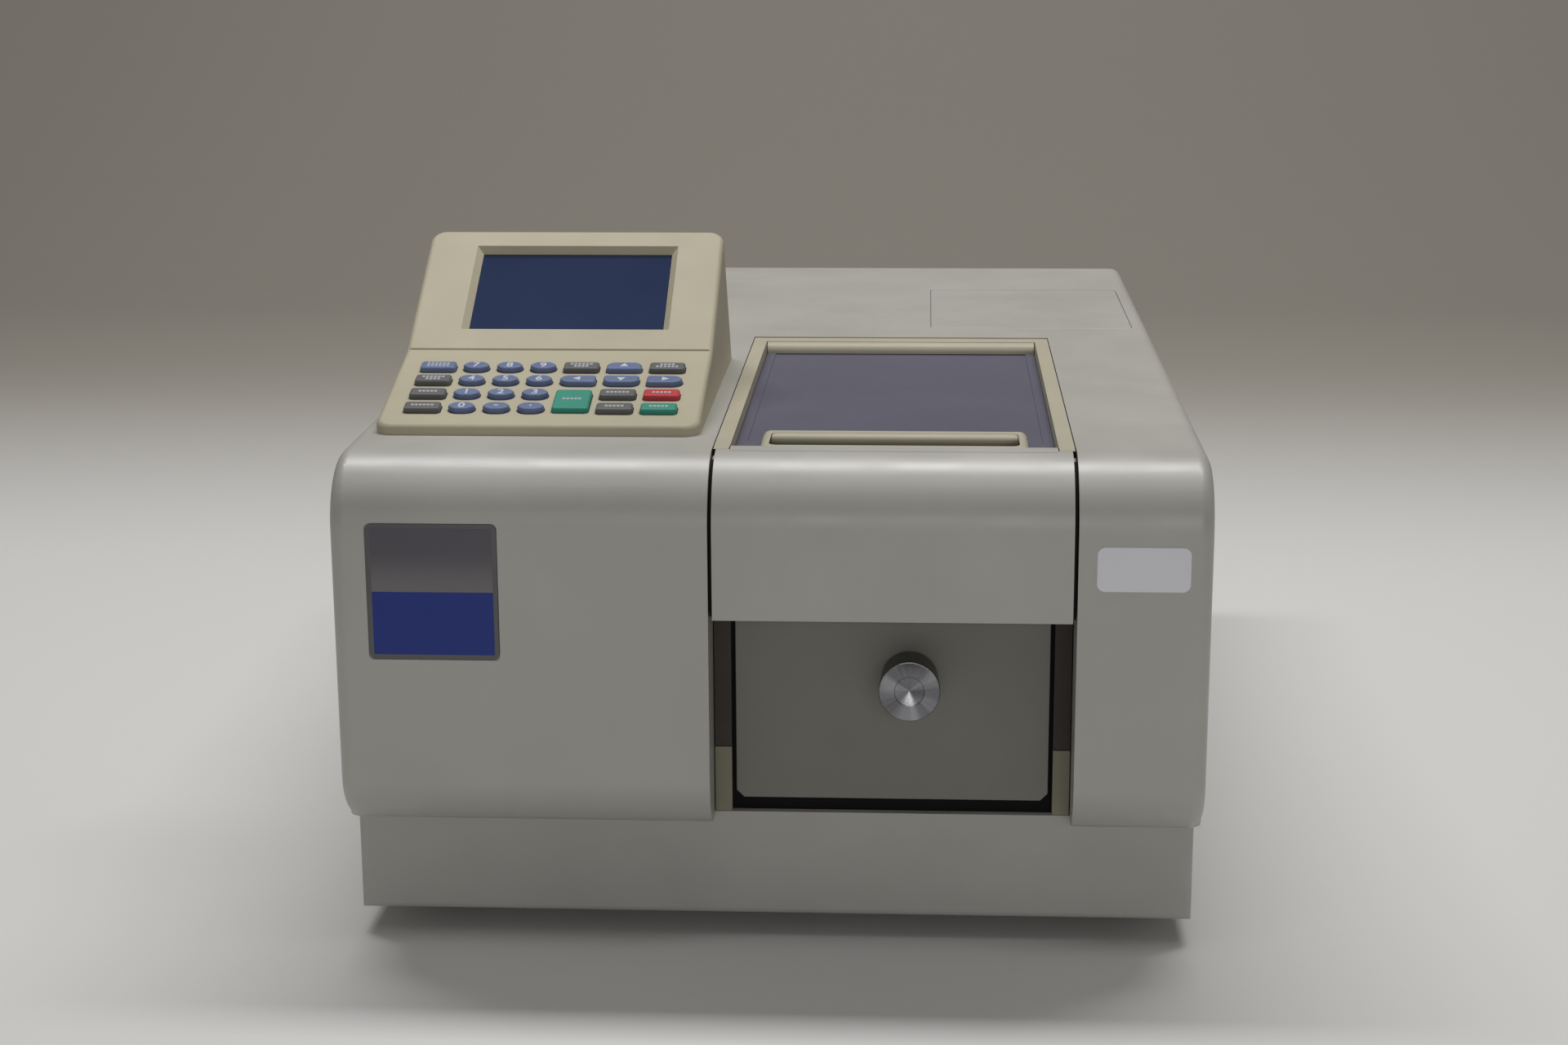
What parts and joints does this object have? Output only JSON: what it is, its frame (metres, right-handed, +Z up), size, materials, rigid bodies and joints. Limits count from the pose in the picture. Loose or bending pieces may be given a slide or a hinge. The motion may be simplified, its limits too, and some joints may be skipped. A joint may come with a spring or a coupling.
{
  "type": "uv-vis spectrophotometer",
  "caption": "Benchtop ultraviolet and visible spectrophotometer: sample bay with hinged lid, pull-rod cell changer, sloping keypad and display console.",
  "frame": {"origin": "centre of the case's footprint, on the plane that the four feet stand on", "axes": "+Z up, the operator's side and the knob face -Y, +X to the operator's right"},
  "size_m": [0.4, 0.613, 0.3114],
  "materials": {
    "housing_plastic": "fine satin texture",
    "base_plastic": "fine satin texture",
    "console_plastic": "fine satin texture",
    "trim_plastic": "fine satin texture",
    "panel_plastic": "fine matte texture",
    "plate_plastic": "fine satin texture",
    "well_plastic": "matte black",
    "seal_foam": "matte foam",
    "foot_rubber": "matte",
    "knob_aluminium": "fine turned",
    "rod_steel": "ground",
    "carriage_aluminium": "black anodised",
    "rear_sheet": "powder coat",
    "display_glass": "clear over a dark screen",
    "display_black": "satin",
    "circuit_board": "satin",
    "inlet_plastic": "satin",
    "rocker_plastic": "gloss",
    "port_metal": "tin plate",
    "bench_casting": "matte black paint",
    "lamp_house_sheet": "black anodised",
    "lamp_glass": "frosted",
    "key_blue": "satin",
    "key_grey": "satin",
    "key_red": "satin",
    "key_green": "satin"
  },
  "bodies": {
    "case": {"top_housing": "housing_plastic", "lamp_cover": "housing_plastic", "base_tray": "base_plastic", "console_housing": "console_plastic", "sill_blocks": "trim_plastic", "front_plate": "plate_plastic", "sample_well": "well_plastic", "light_seals": "seal_foam", "rubber_feet": "foot_rubber", "carriage_guide": "rod_steel", "hinge_pins": "rod_steel", "rear_panel": "rear_sheet", "display_window": "display_glass", "display_module": "display_black", "keypad_board": "circuit_board", "main_board": "circuit_board", "power_inlet": "inlet_plastic", "fan_frame": "inlet_plastic", "signal_ports": "port_metal", "optical_bench": "bench_casting", "detector_box": "bench_casting", "power_supply": "bench_casting", "lamp_house": "lamp_house_sheet", "lamps": "lamp_glass"},
    "lid": {"lid_frame": "trim_plastic", "lid_front_cover": "housing_plastic", "lid_panel": "panel_plastic", "lid_handle": "trim_plastic"},
    "cell_changer": {"pull_knob": "knob_aluminium", "pull_rod": "rod_steel", "cell_carriage": "carriage_aluminium"},
    "rocker": {"power_rocker": "rocker_plastic"},
    "fan": {"fan_rotor": "inlet_plastic"},
    "key_0": {"key_0": "key_blue"},
    "key_1": {"key_1": "key_blue"},
    "key_2": {"key_2": "key_blue"},
    "key_3": {"key_3": "key_blue"},
    "key_4": {"key_4": "key_blue"},
    "key_5": {"key_5": "key_blue"},
    "key_6": {"key_6": "key_blue"},
    "key_7": {"key_7": "key_blue"},
    "key_8": {"key_8": "key_blue"},
    "key_9": {"key_9": "key_blue"},
    "key_cancel": {"key_cancel": "key_red"},
    "key_clear": {"key_clear": "key_grey"},
    "key_down": {"key_down": "key_blue"},
    "key_enter": {"key_enter": "key_green"},
    "key_goto_wavelength": {"key_goto_wavelength": "key_grey"},
    "key_left": {"key_left": "key_blue"},
    "key_menu": {"key_menu": "key_grey"},
    "key_minus": {"key_minus": "key_blue"},
    "key_mode": {"key_mode": "key_blue"},
    "key_point": {"key_point": "key_blue"},
    "key_print": {"key_print": "key_grey"},
    "key_right": {"key_right": "key_blue"},
    "key_run": {"key_run": "key_green"},
    "key_set_reference": {"key_set_reference": "key_grey"},
    "key_shift": {"key_shift": "key_grey"},
    "key_store": {"key_store": "key_grey"},
    "key_up": {"key_up": "key_blue"}
  },
  "joints": [
    {"name": "lid_hinge", "type": "hinge", "parent": "case", "child": "lid", "pos_m": [0.056, 0.027, 0.233], "axis": [-1, 0, 0], "range_deg": [0, 98]},
    {"name": "cell_changer_pull", "type": "slide", "parent": "case", "child": "cell_changer", "axis": [0, -1, 0], "range_m": [0, 0.054]},
    {"name": "power_switch", "type": "hinge", "parent": "case", "child": "rocker", "pos_m": [-0.15, 0.3015, 0.1085], "axis": [0, 0, 1], "range_deg": [0, 20]},
    {"name": "fan_spin", "type": "hinge", "parent": "case", "child": "fan", "pos_m": [0.128, 0.2885, 0.15], "axis": [0, 1, 0], "continuous": true},
    {"name": "press_0", "type": "slide", "parent": "case", "child": "key_0", "axis": [0, 0.2461, -0.9692], "range_m": [0, 0.0012], "stiffness_N_per_m": 1000},
    {"name": "press_1", "type": "slide", "parent": "case", "child": "key_1", "axis": [0, 0.2461, -0.9692], "range_m": [0, 0.0012], "stiffness_N_per_m": 1000},
    {"name": "press_2", "type": "slide", "parent": "case", "child": "key_2", "axis": [0, 0.2461, -0.9692], "range_m": [0, 0.0012], "stiffness_N_per_m": 1000},
    {"name": "press_3", "type": "slide", "parent": "case", "child": "key_3", "axis": [0, 0.2461, -0.9692], "range_m": [0, 0.0012], "stiffness_N_per_m": 1000},
    {"name": "press_4", "type": "slide", "parent": "case", "child": "key_4", "axis": [0, 0.2461, -0.9692], "range_m": [0, 0.0012], "stiffness_N_per_m": 1000},
    {"name": "press_5", "type": "slide", "parent": "case", "child": "key_5", "axis": [0, 0.2461, -0.9692], "range_m": [0, 0.0012], "stiffness_N_per_m": 1000},
    {"name": "press_6", "type": "slide", "parent": "case", "child": "key_6", "axis": [0, 0.2461, -0.9692], "range_m": [0, 0.0012], "stiffness_N_per_m": 1000},
    {"name": "press_7", "type": "slide", "parent": "case", "child": "key_7", "axis": [0, 0.2461, -0.9692], "range_m": [0, 0.0012], "stiffness_N_per_m": 1000},
    {"name": "press_8", "type": "slide", "parent": "case", "child": "key_8", "axis": [0, 0.2461, -0.9692], "range_m": [0, 0.0012], "stiffness_N_per_m": 1000},
    {"name": "press_9", "type": "slide", "parent": "case", "child": "key_9", "axis": [0, 0.2461, -0.9692], "range_m": [0, 0.0012], "stiffness_N_per_m": 1000},
    {"name": "press_cancel", "type": "slide", "parent": "case", "child": "key_cancel", "axis": [0, 0.2461, -0.9692], "range_m": [0, 0.0012], "stiffness_N_per_m": 1000},
    {"name": "press_clear", "type": "slide", "parent": "case", "child": "key_clear", "axis": [0, 0.2461, -0.9692], "range_m": [0, 0.0012], "stiffness_N_per_m": 1000},
    {"name": "press_down", "type": "slide", "parent": "case", "child": "key_down", "axis": [0, 0.2461, -0.9692], "range_m": [0, 0.0012], "stiffness_N_per_m": 1000},
    {"name": "press_enter", "type": "slide", "parent": "case", "child": "key_enter", "axis": [0, 0.2461, -0.9692], "range_m": [0, 0.0012], "stiffness_N_per_m": 1000},
    {"name": "press_goto_wavelength", "type": "slide", "parent": "case", "child": "key_goto_wavelength", "axis": [0, 0.2461, -0.9692], "range_m": [0, 0.0012], "stiffness_N_per_m": 1000},
    {"name": "press_left", "type": "slide", "parent": "case", "child": "key_left", "axis": [0, 0.2461, -0.9692], "range_m": [0, 0.0012], "stiffness_N_per_m": 1000},
    {"name": "press_menu", "type": "slide", "parent": "case", "child": "key_menu", "axis": [0, 0.2461, -0.9692], "range_m": [0, 0.0012], "stiffness_N_per_m": 1000},
    {"name": "press_minus", "type": "slide", "parent": "case", "child": "key_minus", "axis": [0, 0.2461, -0.9692], "range_m": [0, 0.0012], "stiffness_N_per_m": 1000},
    {"name": "press_mode", "type": "slide", "parent": "case", "child": "key_mode", "axis": [0, 0.2461, -0.9692], "range_m": [0, 0.0012], "stiffness_N_per_m": 1000},
    {"name": "press_point", "type": "slide", "parent": "case", "child": "key_point", "axis": [0, 0.2461, -0.9692], "range_m": [0, 0.0012], "stiffness_N_per_m": 1000},
    {"name": "press_print", "type": "slide", "parent": "case", "child": "key_print", "axis": [0, 0.2461, -0.9692], "range_m": [0, 0.0012], "stiffness_N_per_m": 1000},
    {"name": "press_right", "type": "slide", "parent": "case", "child": "key_right", "axis": [0, 0.2461, -0.9692], "range_m": [0, 0.0012], "stiffness_N_per_m": 1000},
    {"name": "press_run", "type": "slide", "parent": "case", "child": "key_run", "axis": [0, 0.2461, -0.9692], "range_m": [0, 0.0012], "stiffness_N_per_m": 1000},
    {"name": "press_set_reference", "type": "slide", "parent": "case", "child": "key_set_reference", "axis": [0, 0.2461, -0.9692], "range_m": [0, 0.0012], "stiffness_N_per_m": 1000},
    {"name": "press_shift", "type": "slide", "parent": "case", "child": "key_shift", "axis": [0, 0.2461, -0.9692], "range_m": [0, 0.0012], "stiffness_N_per_m": 1000},
    {"name": "press_store", "type": "slide", "parent": "case", "child": "key_store", "axis": [0, 0.2461, -0.9692], "range_m": [0, 0.0012], "stiffness_N_per_m": 1000},
    {"name": "press_up", "type": "slide", "parent": "case", "child": "key_up", "axis": [0, 0.2461, -0.9692], "range_m": [0, 0.0012], "stiffness_N_per_m": 1000}
  ]
}
